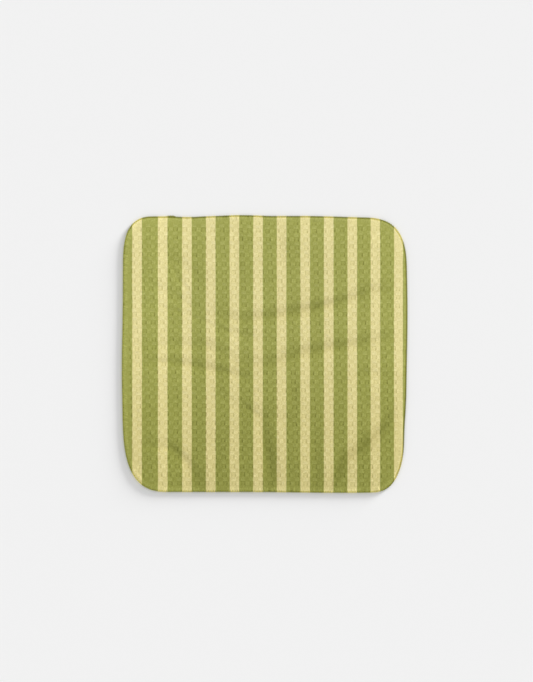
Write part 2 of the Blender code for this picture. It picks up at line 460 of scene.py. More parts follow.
def piece_from(mesh, name):
    """A smooth-shaded object from a bmesh, with its place in its mesh."""
    data = bpy.data.meshes.new(name)
    mesh.to_mesh(data)
    mesh.free()
    data.shade_smooth()
    thing = bpy.data.objects.new(name, data)
    bpy.context.scene.collection.objects.link(thing)
    return thing


towel = piece_from(cloth, "towel_cloth")
print("cloth:", sum(len(p.vertices) - 2 for p in towel.data.polygons), "triangles, top",
      round(max(v.co.z for v in towel.data.vertices) / MM, 2), "mm")

# %% [markdown]
# ## The overlock seam
# A 3-thread overlock has one needle thread and two looper threads. The needle thread makes
# a row of stitches along its line and dips through the cloth at each hole. The upper looper
# thread zigzags over the face between the needle line and the edge, the lower looper thread
# does the same under the back, and the two hook into each other at the cut edge.
#
# A stitch is a short list of points. Each point is given as its share of the stitch's
# length, and how far in from the edge and how high it is, in millimetres.

# %% The three stitches
STITCH = 2.6                # mm, the seam's usual stitch length
STITCHES = round(PERIMETER / MM / STITCH)
UPPER_LOOP = ((0.00, 0.14, 1.15), (0.09, 0.16, 1.50), (0.15, 0.50, 1.92), (0.26, 1.6, 2.17),
              (0.42, 3.6, 2.21), (0.56, 5.35, 2.12), (0.64, 5.85, 2.02), (0.71, 5.40, 2.12),
              (0.78, 3.6, 2.21), (0.85, 1.6, 2.17), (0.90, 0.50, 1.92), (0.95, 0.16, 1.50))
LOWER_LOOP = ((0.04, 0.12, 1.40), (0.10, 0.14, 1.00), (0.16, 0.45, 0.56), (0.24, 1.6, 0.50),
              (0.36, 3.6, 0.50), (0.46, 5.35, 0.52), (0.54, 5.90, 0.55), (0.62, 5.40, 0.52),
              (0.72, 3.6, 0.50), (0.82, 1.6, 0.50), (0.91, 0.45, 0.56), (0.98, 0.14, 1.00))
NEEDLE_STITCH = ((0.54, 5.95, 0.72), (0.58, 5.85, 1.55), (0.64, 5.80, 2.14), (0.80, 5.75, 2.28),
                 (1.00, 5.72, 2.30), (1.22, 5.75, 2.28), (1.40, 5.80, 2.14), (1.48, 5.85, 1.55))
print(STITCHES, "stitches of", round(PERIMETER / MM / STITCHES, 3), "mm")

# %% [markdown]
# ### Lay the stitches round the towel
# Each thread is one closed route. Repeating the stitch's points along the outline is
# simpler than drawing over a thousand stitches, and it lets the seam follow any outline.
# Every stitch is then moved by a small random step, because no machine sews them all alike.

# %% Lay the stitches round the towel
SHIFT = (0.04, 0.35, 0.06)  # how uneven the stitches are along the seam, inwards and up
HOOK = 1.0                  # mm in from the edge: the hooks at the edge stay where they are


def route(stitch, unevenness, seed):
    """The whole thread's route round the towel, as points in metres."""
    rng = np.random.default_rng(seed)
    shape = np.array(stitch)
    shift = rng.normal(0.0, unevenness, (STITCHES, 1, 3)) * np.array(SHIFT)
    steps = np.tile(shape, (STITCHES, 1, 1)) + shift * (shape[:, 1:2] > HOOK)
    steps[:, :, 0] += np.arange(STITCHES)[:, None]
    share, inwards, height = steps.reshape(-1, 3).T
    at = share / STITCHES * FINE
    spots = np.arange(FINE + 1)
    line = [np.interp(at % FINE, spots, np.append(edge[:, k], edge[0, k])) for k in (0, 1)]
    out = [np.interp(at % FINE, spots, np.append(edge_out[:, k], edge_out[0, k])) for k in (0, 1)]
    push = (OVERLAP_RISE * overlap(*line) * (inwards < HOOK) - inwards) * MM
    ground = np.column_stack((line[0] + out[0] * push, line[1] + out[1] * push))
    return np.column_stack((ground, height * MM + lie(ground)))


upper_route = route(UPPER_LOOP, unevenness=1.0, seed=11)
lower_route = route(LOWER_LOOP, unevenness=1.0, seed=12)
needle_route = route(NEEDLE_STITCH, unevenness=0.5, seed=13)
print("points along the threads:", len(upper_route), len(lower_route), len(needle_route))

# %% [markdown]
# ### Yarn along a route
# A curve with a round bevel makes the yarn. It becomes a mesh at once, because the next
# steps shape it further, and because a mesh can carry values for the finish.

# %% Yarn along a route
AROUND = 1                  # the bevel's resolution, kept low because there are so many stitches


def swept(name, points, radius):
    """A round yarn along a closed route, as a mesh with its UV map."""
    curve = bpy.data.curves.new(name, "CURVE")
    curve.dimensions = "3D"
    curve.bevel_depth = radius * MM
    curve.bevel_resolution = AROUND
    spline = curve.splines.new("POLY")
    spline.points.add(len(points) - 1)
    spline.points.foreach_set("co", np.column_stack((points, np.ones(len(points)))).ravel())
    spline.use_cyclic_u = True
    guide = bpy.data.objects.new(name + "_route", curve)
    bpy.context.scene.collection.objects.link(guide)
    shape = guide.evaluated_get(bpy.context.evaluated_depsgraph_get())
    data = bpy.data.meshes.new_from_object(shape)
    bpy.data.objects.remove(guide)
    data.name = name
    return data


print("a yarn has", 4 + 2 * AROUND, "sides")

# %% [markdown]
# ### Spread it flat and measure it
# The loopers carry textured yarn, which is soft and spreads flat where it lies on the
# cloth, so it is widened to both sides of its route. The curve's own UV map counts its
# points, which are not evenly spaced. It is stretched to the thread's true length, so that
# a twist along it stays even.

# %% Spread it flat and measure it
UV_LENGTH = 10.0            # metres of thread that the whole width of its UV map stands for


def spread_flat(data, points, spread):
    """Widen a yarn to both sides of its route, and give back its points."""
    skin = np.empty(len(data.vertices) * 3)
    data.vertices.foreach_get("co", skin)
    skin = skin.reshape(len(points), -1, 3)
    run = np.roll(points, -1, axis=0) - np.roll(points, 1, axis=0)
    aside = np.cross(run / np.linalg.norm(run, axis=1)[:, None], (0.0, 0.0, 1.0))[:, None, :]
    reach = ((skin - skin.mean(axis=1, keepdims=True)) * aside).sum(axis=2, keepdims=True)
    skin = (skin + reach * aside * (spread - 1)).reshape(-1, 3)
    data.vertices.foreach_set("co", skin.ravel())
    return skin


def stretch_uv(data, points):
    """Make the UV map follow the thread's true length, and give back that length."""
    travelled = np.linalg.norm(np.roll(points, -1, axis=0) - points, axis=1).cumsum()
    uv = np.empty(len(data.loops) * 2)
    data.uv_layers[0].data.foreach_get("uv", uv)
    uv[0::2] = np.interp(uv[0::2] * len(points), np.arange(len(points) + 1),
                         (0.0, *(travelled / UV_LENGTH)))
    data.uv_layers[0].data.foreach_set("uv", uv)
    return travelled[-1]


print("the UV map has room for", UV_LENGTH, "m of thread")

# %% [markdown]
# ### Sew
# The loopers' yarn is thicker than the needle's and much softer. Each point of a thread
# also gets its distance in from the edge, which the finish of the turned edge reads.

# %% Sew the three threads
LOOPER_RADIUS = 0.24        # mm
LOOPER_SPREAD = 2.3         # textured yarn spreads flat to this many times its height
NEEDLE_RADIUS = 0.17
NEEDLE_SPREAD = 1.3


def thread(name, points, radius, spread):
    """A yarn along a closed route, spread flat where it runs level."""
    data = swept(name, points, radius)
    skin = spread_flat(data, points, spread)
    length = stretch_uv(data, points)
    inset, _ = from_edge(skin[:, :2])
    data.attributes.new("inset", "FLOAT", "POINT").data.foreach_set("value", inset / MM)
    data.shade_smooth()
    yarn = bpy.data.objects.new(name, data)
    bpy.context.scene.collection.objects.link(yarn)
    print(name, "uses", round(length, 2), "m of thread and has", len(data.polygons), "faces")
    return yarn


upper = thread("upper_looper_stitches", upper_route, LOOPER_RADIUS, LOOPER_SPREAD)
lower = thread("lower_looper_stitches", lower_route, LOOPER_RADIUS, LOOPER_SPREAD)
needle = thread("needle_stitches", needle_route, NEEDLE_RADIUS, NEEDLE_SPREAD)

# %% [markdown]
# ## Finishes
# The cloth and the threads are the same fibre under the same ink, so most of their finish
# is shared. Each shared effect is a node group with named inputs and outputs, and each
# material places it with its own values. Node trees are long to write out, so a few helpers
# place the kinds of node that come again and again. The first few do sums.

# %% Nodes that do sums


def feed(tree, socket, value):
    """Give an input its value: a socket to link it to, or a constant."""
    if isinstance(value, bpy.types.NodeSocket):
        tree.links.new(value, socket)
    else:
        socket.default_value = value


def math_node(tree, operation, *values):
    """A Math node's result."""
    node = tree.nodes.new("ShaderNodeMath")
    node.operation = operation
    for socket, value in zip(node.inputs, values):
        feed(tree, socket, value)
    return node.outputs[0]


def vector_node(tree, operation, **values):
    """A Vector Math node's result, from its named inputs: first, second or Scale."""
    node = tree.nodes.new("ShaderNodeVectorMath")
    node.operation = operation
    for label, value in values.items():
        feed(tree, node.inputs[{"first": 0, "second": 1}.get(label, label)], value)
    return node.outputs[0]


def split_vector(tree, vector):
    """A vector's X, Y and Z outputs."""
    node = tree.nodes.new("ShaderNodeSeparateXYZ")
    tree.links.new(vector, node.inputs[0])
    return node.outputs


def object_space(tree):
    """Object coordinates, and their X and Y."""
    place = tree.nodes.new("ShaderNodeTexCoord").outputs["Object"]
    parts = split_vector(tree, place)
    return place, parts["X"], parts["Y"]


print("sums:", feed.__name__, math_node.__name__, vector_node.__name__, split_vector.__name__)

# %% [markdown]
# ### Noise, steps and depth of colour
# A noise gives uneven values, a smooth step turns a place into a mask, and a gamma makes a
# dye look deeper without changing its kind. Together they make every pattern below.

# %% Nodes that make patterns


def noise(tree, vector, scale, detail=1.0, roughness=0.5):
    """A Noise Texture's value."""
    node = tree.nodes.new("ShaderNodeTexNoise")
    node.inputs["Scale"].default_value = scale
    node.inputs["Detail"].default_value = detail
    node.inputs["Roughness"].default_value = roughness
    tree.links.new(vector, node.inputs["Vector"])
    return node.outputs["Fac"]


def about_zero(tree, value):
    """A noise's value moved from 0 to 1 down to -0.5 to 0.5."""
    return math_node(tree, "SUBTRACT", value, 0.5)


def smooth_range(tree, value, low, high, out_low=0.0, out_high=1.0):
    """A smooth step from out_low to out_high as value goes from low to high."""
    node = tree.nodes.new("ShaderNodeMapRange")
    node.interpolation_type = "SMOOTHSTEP"
    for label, given in (("Value", value), ("From Min", low), ("From Max", high),
                         ("To Min", out_low), ("To Max", out_high)):
        feed(tree, node.inputs[label], given)
    return node.outputs["Result"]


def deepened(tree, colour, gamma):
    """A colour made deeper: a gamma above 1 darkens its weakest channel the most."""
    node = tree.nodes.new("ShaderNodeGamma")
    tree.links.new(colour, node.inputs["Color"])
    feed(tree, node.inputs["Gamma"], gamma)
    return node.outputs["Color"]


print("patterns:", noise.__name__, smooth_range.__name__, deepened.__name__)

# %% [markdown]
# ### Node groups
# A group is a small tree with named sockets. It is built once, and each material that
# places it can give it other values, as a recipe is followed with other amounts.

# %% Node groups
VALUE = "NodeSocketFloat"
COLOUR = "NodeSocketColor"
PLAIN = (0.5, 0.5, 0.5, 1.0)   # what a colour input holds until something is linked to it


def new_group(name, inputs, outputs):
    """A shader node group, the sockets that it is given, and the sockets that it fills."""
    tree = bpy.data.node_groups.new(name, "ShaderNodeTree")
    for label, kind, default in inputs:
        socket = tree.interface.new_socket(label, in_out="INPUT", socket_type=kind)
        socket.default_value = default
    for label, kind in outputs:
        tree.interface.new_socket(label, in_out="OUTPUT", socket_type=kind)
    return tree, tree.nodes.new("NodeGroupInput").outputs, tree.nodes.new("NodeGroupOutput").inputs


def tell(tree):
    """Print what a node group holds."""
    names = [item.name for item in tree.interface.items_tree]
    print(tree.name, "has", len(tree.nodes), "nodes; its sockets:", ", ".join(names))


print("groups:", new_group.__name__, tell.__name__)

# %% [markdown]
# ### The print
# Twelve pale stripes on olive green. They were printed onto the sewn towel, so they run
# straight on over the threads, and their pattern belongs to the towel's own space and not
# to the weave. An image would do it too, but a formula stays sharp at any distance.
#
# The stripes repeat at one pitch. When the printed towel was laid out, the cloth was pulled
# at its left side and pushed in at its right, so a few stripes lie aside of their places.
# The ink's edge wavers with the yarns that it lies on.

# %% Printed stripes
STRIPE_PITCH = 25.07 * MM
STRIPE_WIDTH = 10.2 * MM
STRIPE_AT = 18.3 * MM       # the middle of one stripe
PULL = 3.4 * MM             # how far the first stripe is pulled
PULL_AT = -135.5 * MM
PULL_FADES = 25.0 * MM
SQUEEZE = 0.58 * MM         # how far the last two are pushed in
SQUEEZE_AT = (95.0 * MM, 118.0 * MM)
END_SQUEEZE = 0.8 * MM      # how far the last one's outer side is pushed in
END_SQUEEZE_AT = (141.0 * MM, 147.0 * MM)
WAVERS = ((260.0, 0.55 * MM), (60.0, 0.5 * MM))   # how fine and how far the ink's edge wavers
INK_EDGE = 0.25 * MM        # how soft the ink's edge is
GREEN = (0.346, 0.355, 0.082, 1.0)
YELLOW = (0.755, 0.672, 0.305, 1.0)

# the stripes, and over them the painted light of the ramps below
printed, _, out = new_group("printed_stripes_under_painted_light", [], [("Colour", COLOUR)])
spot, sx, sy = object_space(printed)
wavers = [(about_zero(printed, noise(printed, spot, scale)), reach) for scale, reach in WAVERS]
pulled = math_node(printed, "EXPONENT",
                   math_node(printed, "DIVIDE", math_node(printed, "SUBTRACT", PULL_AT, sx), PULL_FADES))
at = math_node(printed, "MULTIPLY_ADD", pulled, PULL, sx)
at = math_node(printed, "ADD", smooth_range(printed, sx, *SQUEEZE_AT, 0.0, SQUEEZE), at)
at = math_node(printed, "ADD", smooth_range(printed, sx, *END_SQUEEZE_AT, 0.0, END_SQUEEZE), at)
for waver, reach in wavers:
    at = math_node(printed, "MULTIPLY_ADD", waver, reach, at)
turns = math_node(printed, "DIVIDE", math_node(printed, "SUBTRACT", at, STRIPE_AT), STRIPE_PITCH)
stretch = math_node(printed, "MULTIPLY_ADD", pulled, -PULL / PULL_FADES, 1.0)
near = math_node(printed, "DIVIDE", math_node(printed, "PINGPONG", turns, 0.5), stretch)
half = STRIPE_WIDTH / STRIPE_PITCH / 2
soft = INK_EDGE / STRIPE_PITCH
stripe = smooth_range(printed, near, half - soft, half + soft, 1.0, 0.0)
inks = printed.nodes.new("ShaderNodeMix")
inks.data_type = "RGBA"
inks.inputs["A"].default_value = GREEN
inks.inputs["B"].default_value = YELLOW
printed.links.new(stripe, inks.inputs["Factor"])
print("the stripes take up", round(100 * STRIPE_WIDTH / STRIPE_PITCH), "% of the cloth")

# %% [markdown]
# ### Painted light across the towel
# The print carries painted light. It is a little darker and deeper in colour towards the near
# side, and a little lighter towards the left and right sides. Gentle ramps across the towel
# do this, and both inks go through them.

# %% Painted light across the towel
DOWN = (-135 * MM, 60 * MM)       # where the ramp begins and ends, from the near side
DOWN_PAINTED_LIGHT = (0.905, 1.01)         # the ink's tone at both ends of it
DOWN_PAINTED_COLOUR_DEPTH = (1.10, 0.99)         # how deep its colour is there
LEFTWARDS = (-115 * MM, -60 * MM)
LEFT_PAINTED_LIGHT = (1.085, 1.0)
RIGHTWARDS = (60 * MM, 110 * MM)
RIGHT_PAINTED_LIGHT = (1.0, 1.025)

# painted light: the ramps darken and deepen the print towards the near side and lighten it towards the
# left and right
down = smooth_range(printed, sy, *DOWN, *DOWN_PAINTED_LIGHT)
across = math_node(printed, "MULTIPLY", smooth_range(printed, sx, *LEFTWARDS, *LEFT_PAINTED_LIGHT),
                   smooth_range(printed, sx, *RIGHTWARDS, *RIGHT_PAINTED_LIGHT))
deep_ink = deepened(printed, inks.outputs["Result"], smooth_range(printed, sy, *DOWN, *DOWN_PAINTED_COLOUR_DEPTH))
ink_under_painted_light = vector_node(printed, "SCALE", first=deep_ink, Scale=math_node(printed, "MULTIPLY", down, across))
printed.links.new(ink_under_painted_light, out["Colour"])
tell(printed)

# %% [markdown]
# ### The tone of the fibres
# Microfibre is a mass of fine loops, and its tone changes from fibre to fibre. Three noises
# of different fineness make up the tone, and the two finer ones also make a faint fuzz for
# a bump, which is far too fine for the mesh.

# %% Fibre tone
GRAINS = ((1100.0, 1.0, 0.46), (420.0, 1.0, 0.08), (26.0, 2.0, 0.08))   # scale, detail, share
FUZZ_SHARE = 0.6            # how much the finest grain counts in the fuzz

tone, _, out = new_group("fibre_tone", [], [("Tone", VALUE), ("Fuzz", VALUE)])
spot, _, _ = object_space(tone)
grains = [noise(tone, spot, scale, detail) for scale, detail, _ in GRAINS]
total = 1.0
for grain, (_, _, share) in zip(grains, GRAINS):
    total = math_node(tone, "MULTIPLY_ADD", about_zero(tone, grain), share, total)
tone.links.new(total, out["Tone"])
tone.links.new(math_node(tone, "ADD", math_node(tone, "MULTIPLY", grains[0], FUZZ_SHARE), grains[1]),
               out["Fuzz"])
tell(tone)

# %% [markdown]
# ### The yarns of the waffle
# The mesh has the waffle's shape, and this group adds the single yarns, which would take
# too many faces. It reads each point's place in its waffle cell from the mesh, so the
# pattern follows the weave wherever the cloth was pulled. Windows and humps pick out the
# parts of a cell, and each part then adds its own painted light or shade to the tone: the
# floats get a painted highlight, and the slots at the walls of a pit, the line between a
# float's yarns, the corners and the pit floors get painted shade.

# %% Find the parts of a cell
PIT_DOWN = -0.045           # where a pit's middle looks to be, in cells
FLOAT_DOWN = 0.48           # and the middle of a weft float
WARP_FLOAT = (0.21, 0.215)  # half a float's width and half its height, in cells
WEFT_FLOAT = (0.24, 0.21)
CORNER = (0.24, 0.25)       # the same for the tight weave where four cells meet
SOFT = 0.04                 # how soft the outline of a float is, in cells
SOFTER = 0.05               # and of a corner or a pit's floor
PIT_FLOOR = (0.17, -0.10, 0.12)   # half its width, where it is deepest, and how far that spreads
# the line between a warp float's two halves is painted shade
YARN_GAP = 0.03             # the width of the dark line between a warp float's two halves

yarns, _, out = new_group("waffle_yarns_and_painted_shading", [], [("Height", VALUE), ("Tone", VALUE)])
cell = yarns.nodes.new("ShaderNodeAttribute")
cell.attribute_name = "cell"
cell_parts = split_vector(yarns, cell.outputs["Vector"])


def from_middle(value, middle):
    """How far a value is from the nearest cell's middle, from -0.5 to 0.5."""
    return math_node(yarns, "WRAP", math_node(yarns, "SUBTRACT", value, middle), 0.5, -0.5)


def window(value, half, soft):
    """1 within half of zero and 0 outside, with a soft edge."""
    return smooth_range(yarns, math_node(yarns, "ABSOLUTE", value), half - soft, half + soft, 1.0, 0.0)


def hump(value, middle, spread):
    """A smooth bump of height 1 about a value."""
    away = math_node(yarns, "DIVIDE", math_node(yarns, "SUBTRACT", value, middle), spread)
    square = math_node(yarns, "MULTIPLY", away, away)
    return math_node(yarns, "EXPONENT", math_node(yarns, "MULTIPLY", square, -1.0))


def times(*values):
    """The product of several values."""
    product = values[0]
    for value in values[1:]:
        product = math_node(yarns, "MULTIPLY", product, value)
    return product


pit_u, pit_v = from_middle(cell_parts["X"], 0.0), from_middle(cell_parts["Y"], PIT_DOWN)
float_u, float_v = from_middle(cell_parts["X"], 0.5), from_middle(cell_parts["Y"], FLOAT_DOWN)
warp_float = times(window(float_u, WARP_FLOAT[0], SOFT), window(pit_v, WARP_FLOAT[1], SOFT))
weft_float = times(window(pit_u, WEFT_FLOAT[0], SOFT), window(float_v, WEFT_FLOAT[1], SOFT))
corner = times(window(float_u, CORNER[0], SOFTER), window(float_v, CORNER[1], SOFTER))
pit_floor = times(window(pit_u, PIT_FLOOR[0], SOFTER), hump(pit_v, *PIT_FLOOR[1:]))
two_yarns = hump(float_u, 0.0, YARN_GAP)
print("the parts of a cell take", len(yarns.nodes), "nodes")

# %% [markdown]
# ### The slots at a pit's walls
# The slots at a pit's walls are painted shade, where the walls fall into shadow. The left
# and right slots lean a little with the columns, and their painted shade is darkest at
# their lower ends. The right one, which faces away from the light, is darker. The top slot
# is a short line of painted shade. They are not the same in every cell, so a noise that
# changes from cell to cell makes some strong and some weak.

# %% Slots
SLOT_X = 0.20               # how far a side slot is from the pit's middle, in cells
SLOT_WIDTH = 0.050
SLOT_LEAN = -0.12
SLOT_HALF = (0.23, 0.03)    # half a side slot's length, and how softly it ends
# how strong a side slot's painted shade is along its length
SLOT_SHADE_STRENGTHS = (-0.18, 0.22, 1.20, 0.65)   # from its lower to its upper end: where, and how strong
TOP_SLOT = (0.255, 0.030)   # the top slot's place and its width
TOP_HALF = (0.23, 0.04)     # half its length, and how softly it ends
CELL_NOISE = 3.6            # how quickly the slots change from cell to cell
WEAK_TO_STRONG = (0.30, 0.70, 0.6, 1.4)   # the noise's range, and the strength that it stands for

in_pit = window(pit_v, *SLOT_HALF)
lean_u = math_node(yarns, "MULTIPLY_ADD", pit_v, SLOT_LEAN, pit_u)
slot_shade_darker_low = smooth_range(yarns, pit_v, *SLOT_SHADE_STRENGTHS)
right_slot = times(hump(lean_u, SLOT_X, SLOT_WIDTH), in_pit, slot_shade_darker_low)
left_slot = times(hump(lean_u, -SLOT_X, SLOT_WIDTH), in_pit, slot_shade_darker_low)
top_slot = times(hump(pit_v, *TOP_SLOT), window(pit_u, *TOP_HALF))
cell_noise = noise(yarns, cell.outputs["Vector"], CELL_NOISE)
uneven_slot_shade = smooth_range(yarns, cell_noise, *WEAK_TO_STRONG)
print("with its slots,", len(yarns.nodes), "nodes")

# %% [markdown]
# ### Tone and ridges of the yarns
# Each part adds its strength to the tone, as painted light above zero and painted shade
# below zero. A part times its own place across it makes a slope of painted shade, because a
# float is lit from one side. The floats also get a fine ridge for each yarn, which a bump
# reads.

# %% Tone and ridges
YARNS = 16.0                # yarns in one cell, each way
# each part of a cell, with its painted light above zero or its painted shade below zero
PAINTED_WEAVE_LIGHT_AND_SHADE = (
    (warp_float, 0.065), (times(warp_float, two_yarns), -0.070), (times(warp_float, float_u), -0.20),
    (weft_float, 0.070), (times(weft_float, float_v), -0.26),
    (corner, -0.035), (pit_floor, -0.035),
    (times(right_slot, uneven_slot_shade), -0.22),
    (times(left_slot, uneven_slot_shade), -0.15),
    (times(top_slot, uneven_slot_shade), -0.10),
)


def wave(tree, value, turns):
    """A cosine that goes through this many turns for each unit."""
    return math_node(tree, "COSINE", math_node(tree, "MULTIPLY", value, 2 * math.pi * turns))


painted_weave_light_and_shade = 1.0
for part, strength in PAINTED_WEAVE_LIGHT_AND_SHADE:
    painted_weave_light_and_shade = math_node(yarns, "MULTIPLY_ADD", part, strength, painted_weave_light_and_shade)
yarns.links.new(painted_weave_light_and_shade, out["Tone"])
ridges = math_node(yarns, "ADD", times(warp_float, wave(yarns, cell_parts["X"], YARNS)),
                   times(weft_float, wave(yarns, cell_parts["Y"], YARNS)))
yarns.links.new(ridges, out["Height"])
tell(yarns)

# %% [markdown]
# ### The turned edge
# The last two millimetres turn down, and their shade is painted: the rim is darker, and
# more olive. The far and right sides face the low light, which would wash the dark rim out,
# so they get darker painted shade than the near and left sides, which lie in shade anyway.
# The painted shade changes softly between them at the corners.

# %% Turned edge
SIDES = 30 * MM             # how gently the tone changes from one pair of sides to the other
RIM_PAINTED_SHADE = (0.8, 2.5)            # mm in from the edge where the rim is full, and where it ends

turned, given, out = new_group(
    "turned_edge_painted_shade",
    [("Ink", COLOUR, PLAIN), ("Inset", VALUE, 0.0), ("Near tone", VALUE, 1.0),
     ("Far tone", VALUE, 1.0), ("Blue left", VALUE, 1.0)],
    [("Ink", COLOUR), ("Tone", VALUE)])
_, sx, sy = object_space(turned)
# painted shade: full at the rim, and gone further in
rim = smooth_range(turned, given["Inset"], *RIM_PAINTED_SHADE, 1.0, 0.0)


def at_the_rim(value):
    """A factor that has this value at the rim and is 1 elsewhere."""
    return math_node(turned, "MULTIPLY_ADD", math_node(turned, "SUBTRACT", value, 1.0), rim, 1.0)


side_painted_shade = smooth_range(turned, math_node(turned, "ADD", sx, sy), -SIDES, SIDES,
                         given["Near tone"], given["Far tone"])
turned.links.new(at_the_rim(side_painted_shade), out["Tone"])
tint = turned.nodes.new("ShaderNodeCombineXYZ")
tint.inputs["X"].default_value = 1.0
tint.inputs["Y"].default_value = 1.0
turned.links.new(at_the_rim(given["Blue left"]), tint.inputs["Z"])
turned.links.new(vector_node(turned, "MULTIPLY", first=given["Ink"], second=tint.outputs[0]), out["Ink"])
tell(turned)

# %% [markdown]
# ### Ink at a tone
# Where textile is dark because it is a hollow, light meets the ink more than once before it
# leaves, so the colour is deeper there and not only darker. This group lays the ink at a
# tone, and raises its gamma as the tone falls.

# %% Ink at a tone
inked, given, out = new_group(
    "ink_at_a_tone",
    [("Ink", COLOUR, PLAIN), ("Tone", VALUE, 1.0), ("Deepening", VALUE, 0.0)],
    [("Colour", COLOUR)])
darkness = math_node(inked, "SUBTRACT", 1.0, given["Tone"])
deep_ink = deepened(inked, given["Ink"],
                    math_node(inked, "MULTIPLY_ADD", darkness, given["Deepening"], 1.0))
inked.links.new(vector_node(inked, "SCALE", first=deep_ink, Scale=given["Tone"]), out["Colour"])
tell(inked)

# %% [markdown]
# ### Place groups, values and relief
# A material needs three more kinds of node: the groups that were just made, the values that
# the meshes carry, and bumps. A bump stands for relief that is too fine for the mesh, and
# one bump can lie on top of another.

# %% Place groups, values and relief


def add_group(tree, group, **values):
    """Place a node group with its own values, which are sockets or constants."""
    node = tree.nodes.new("ShaderNodeGroup")
    node.node_tree = group
    for label, value in values.items():
        feed(tree, node.inputs[label.replace("_", " ")], value)
    return node.outputs


def attribute(tree, name):
    """A value that the mesh carries."""
    node = tree.nodes.new("ShaderNodeAttribute")
    node.attribute_name = name
    return node.outputs["Fac"]


def bump(tree, height, distance, normal=None):
    """A Bump node's normal, on top of another if one is given."""
    node = tree.nodes.new("ShaderNodeBump")
    node.inputs["Distance"].default_value = distance
    node.inputs["Strength"].default_value = 1.0
    tree.links.new(height, node.inputs["Height"])
    if normal is not None:
        tree.links.new(normal, node.inputs["Normal"])
    return node.outputs["Normal"]


print("groups to place:", ", ".join(group.name for group in bpy.data.node_groups))

# %% [markdown]
# ### What both textiles share
# Both materials start from the same print under its painted light, the rim's painted shade
# and the fibre tone, on a rough shader with a little sheen, which stands for the fine loops
# that catch light from the side. Both end with the ink laid at its tone and the fuzz over
# the relief. Only what lies between is different, so the start and the end are functions.

# %% What both textiles share
# painted shade at the turned edge keeps this share of the ink's blue
RIM_SHADE_BLUE = 0.62             # how much of the ink's blue is left at the turned edge
DEEPENING = 0.8             # how much deeper in colour the ink is where its tone is dark
FUZZ_BUMP = 0.08 * MM


def textile(name, roughness, sheen, painted_rim_shades):
    """A material, its shader, and the ink, tone and fuzz that it starts from."""
    material = bpy.data.materials.new(name)
    material.use_nodes = True
    tree = material.node_tree
    shader = tree.nodes["Principled BSDF"]
    shader.inputs["Roughness"].default_value = roughness
    shader.inputs["Specular IOR Level"].default_value = 0.2
    shader.inputs["Sheen Weight"].default_value = sheen
    shader.inputs["Sheen Roughness"].default_value = 0.5
    fibres = add_group(tree, tone)
    # the turned edge's painted shade
    rim = add_group(tree, turned, Ink=add_group(tree, printed)["Colour"],
                    Inset=attribute(tree, "inset"), Near_tone=painted_rim_shades[0], Far_tone=painted_rim_shades[1],
                    Blue_left=RIM_SHADE_BLUE)
    shade = math_node(tree, "MULTIPLY", rim["Tone"], fibres["Tone"])
    return material, shader, rim["Ink"], shade, fibres["Fuzz"]


def finish_textile(material, shader, ink, shade, fuzz, relief):
    """Lay the ink at its tone, and the fuzz over the relief."""
    tree = material.node_tree
    laid = add_group(tree, inked, Ink=ink, Tone=shade, Deepening=DEEPENING)
    tree.links.new(laid["Colour"], shader.inputs["Base Color"])
    tree.links.new(bump(tree, fuzz, FUZZ_BUMP, relief), shader.inputs["Normal"])
    print(material.name, "has", len(tree.nodes), "nodes and the groups",
          ", ".join(node.node_tree.name for node in tree.nodes if node.type == "GROUP"))


print("shared groups:", ", ".join(group.name for group in (printed, tone, turned, inked)))

# %% [markdown]
# ### Printed waffle
# The cloth adds the painted light and shade and the ridges of its yarns where the weave is
# open, inside the pressed margin. Along the creases, where they press the cloth down, it
# has painted shade.

# %% Printed waffle
# painted shade at the cloth's turned edge
CLOTH_RIM_PAINTED_SHADE = (0.30, 0.20)    # the turned edge's tone: near and left sides, far and right sides
# painted shade along the creases' valleys: how much darker the cloth is painted there
CREASE_PAINTED_SHADE = 0.11          # how much darker the nap looks where a crease presses it
YARN_BUMP = 0.08 * MM
OPEN_WEAVE = (6.0, 9.0)     # mm in from the edge where the weave begins to open, and is open

cloth_finish, shader, ink, shade, fuzz = textile("printed_waffle", roughness=0.95, sheen=0.15,
                                                 painted_rim_shades=CLOTH_RIM_PAINTED_SHADE)
tree = cloth_finish.node_tree
weave = add_group(tree, yarns)
open_weave = smooth_range(tree, attribute(tree, "inset"), *OPEN_WEAVE)
weave_shade = tree.nodes.new("ShaderNodeMix")
tree.links.new(open_weave, weave_shade.inputs["Factor"])
weave_shade.inputs["A"].default_value = 1.0
tree.links.new(weave["Tone"], weave_shade.inputs["B"])
shade = math_node(tree, "MULTIPLY", shade, weave_shade.outputs["Result"])
# painted shade along the creases
crease_painted_shade = math_node(tree, "MULTIPLY_ADD", attribute(tree, "crease"), -CREASE_PAINTED_SHADE, 1.0)
shade = math_node(tree, "MULTIPLY", shade, crease_painted_shade)
ridges = bump(tree, math_node(tree, "MULTIPLY", weave["Height"], open_weave), YARN_BUMP)
finish_textile(cloth_finish, shader, ink, shade, fuzz, ridges)
towel.data.materials.append(cloth_finish)

# %% [markdown]
# ### Printed thread
# Sewing thread is a few plies twisted together, and each ply goes round the thread like the
# stripe on a barber's pole. On the thread's own UV map, with one axis along the thread and
# the other round it, such a helix is a straight slanting line, so a cosine of the two
# together makes the ridges of the plies.

# %% Printed thread
# painted shade at the threads' turned edge
THREAD_RIM_PAINTED_SHADE = (1.00, 0.58)   # the turned edge's tone: near and left sides, far and right sides
# painted light: the threads are made a little brighter, against the shade their round yarns cast on
# themselves
THREAD_PAINTED_LIGHT = 1.08          # thread lies on top, and is a little brighter than the cloth
PLIES = 3
PLY_PITCH = 3.0 * MM        # how far along the thread one ply takes to go once round it
PLY_BUMP = 0.04 * MM

